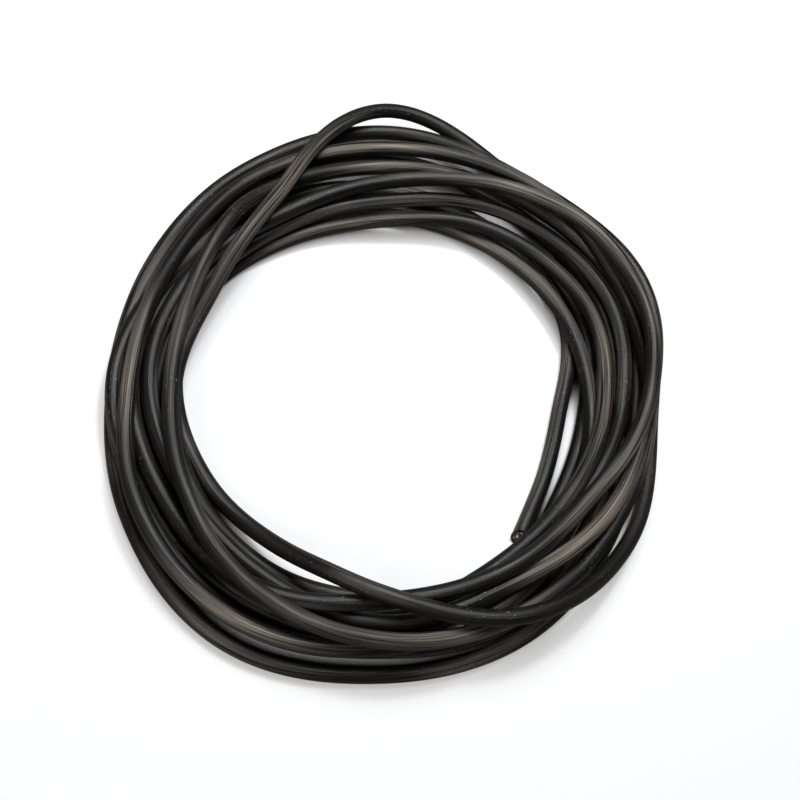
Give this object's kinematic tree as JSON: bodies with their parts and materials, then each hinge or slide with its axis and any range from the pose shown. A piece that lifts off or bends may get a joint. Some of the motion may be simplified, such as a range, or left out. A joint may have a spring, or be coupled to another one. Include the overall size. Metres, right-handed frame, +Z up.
{
  "type": "coiled electric cable",
  "caption": "Loose hand-wound coil of round black rubber-sheathed flexible cable lying flat, both ends cut square with three insulated copper cores.",
  "frame": {"origin": "middle of the coil's own box on the surface that it lies on", "axes": "+Z up out of the surface, +Y along the coil's longest width, +X across it, towards the side where the open cut end lies"},
  "size_m": [0.3604, 0.3984, 0.0487],
  "materials": {
    "sheath_rubber": "matt, faint lengthwise sheen",
    "separator_tape": "thin pale wrap",
    "insulation_brown": "smooth",
    "insulation_blue": "smooth",
    "insulation_earth": "smooth, green and yellow",
    "copper": "bright cut fine strands",
    "filler_string": "twisted string"
  },
  "bodies": {
    "root": {"coil_sheath": "sheath_rubber", "coil_cores": "separator_tape", "cut_end_sheath": "sheath_rubber", "cut_end_tape": "separator_tape", "cut_end_insulation_brown": "insulation_brown", "cut_end_insulation_blue": "insulation_blue", "cut_end_insulation_earth": "insulation_earth", "cut_end_conductor_brown": "copper", "cut_end_conductor_blue": "copper", "cut_end_conductor_earth": "copper", "cut_end_filler_1": "filler_string", "cut_end_filler_2": "filler_string", "cut_end_filler_3": "filler_string", "tail_end_sheath": "sheath_rubber", "tail_end_tape": "separator_tape", "tail_end_insulation_brown": "insulation_brown", "tail_end_insulation_blue": "insulation_blue", "tail_end_insulation_earth": "insulation_earth", "tail_end_conductor_brown": "copper", "tail_end_conductor_blue": "copper", "tail_end_conductor_earth": "copper", "tail_end_filler_1": "filler_string", "tail_end_filler_2": "filler_string", "tail_end_filler_3": "filler_string"}
  },
  "joints": []
}
